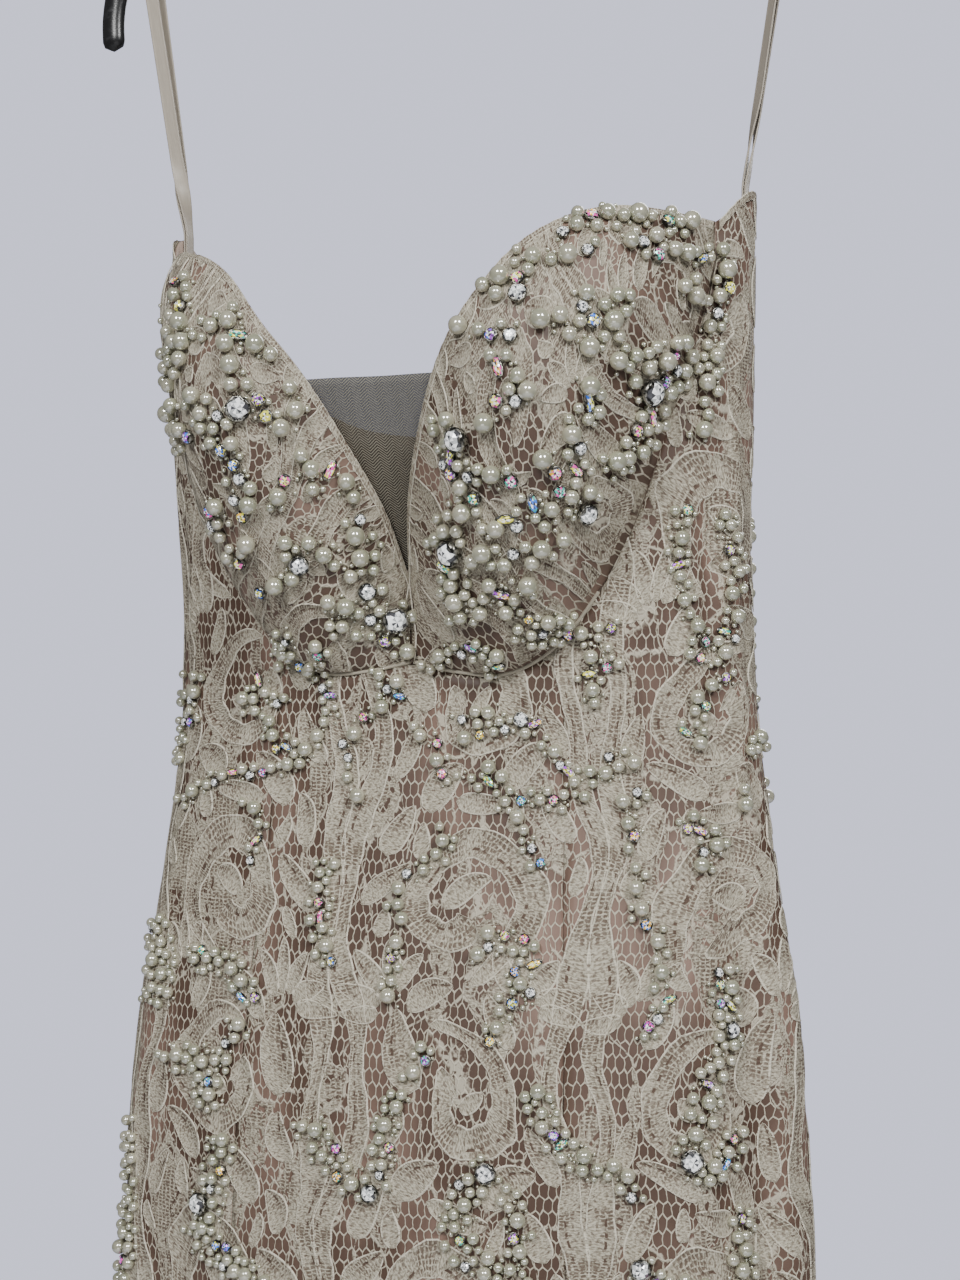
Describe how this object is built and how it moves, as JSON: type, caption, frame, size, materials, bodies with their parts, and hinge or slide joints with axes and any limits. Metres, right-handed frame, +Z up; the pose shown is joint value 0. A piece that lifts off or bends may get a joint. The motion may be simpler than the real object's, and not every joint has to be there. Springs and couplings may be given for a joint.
{
  "type": "strapless dress on hanger",
  "caption": "Floor-length strapless lace gown with padded cups, a plunging neckline with a sheer insert and pearl beadwork, hung by ribbon loops from a plain hanger.",
  "frame": {"origin": "inside top of the hanger's hook, where a rail carries it", "axes": "+Z up along the hanging gown, front of the gown towards -Y, wearer's left towards +X"},
  "size_m": [0.5239, 0.3539, 1.573],
  "materials": {
    "beaded_lace": "cream corded lace over a taupe lining, with ivory pearl and crystal beadwork",
    "sheer_net": "fine see-through chevron net",
    "zip_tape": "plain woven tape",
    "satin_ribbon": "narrow double-faced satin ribbon",
    "black_plastic": "smooth moulded black plastic"
  },
  "bodies": {
    "root": {"cup_left": "beaded_lace", "cup_right": "beaded_lace", "front_centre": "beaded_lace", "side_front_left": "beaded_lace", "side_front_right": "beaded_lace", "back_left": "beaded_lace", "back_right": "beaded_lace", "neck_net": "sheer_net", "zip_tape": "zip_tape", "loop_left": "satin_ribbon", "loop_right": "satin_ribbon", "hanger": "black_plastic"}
  },
  "joints": []
}
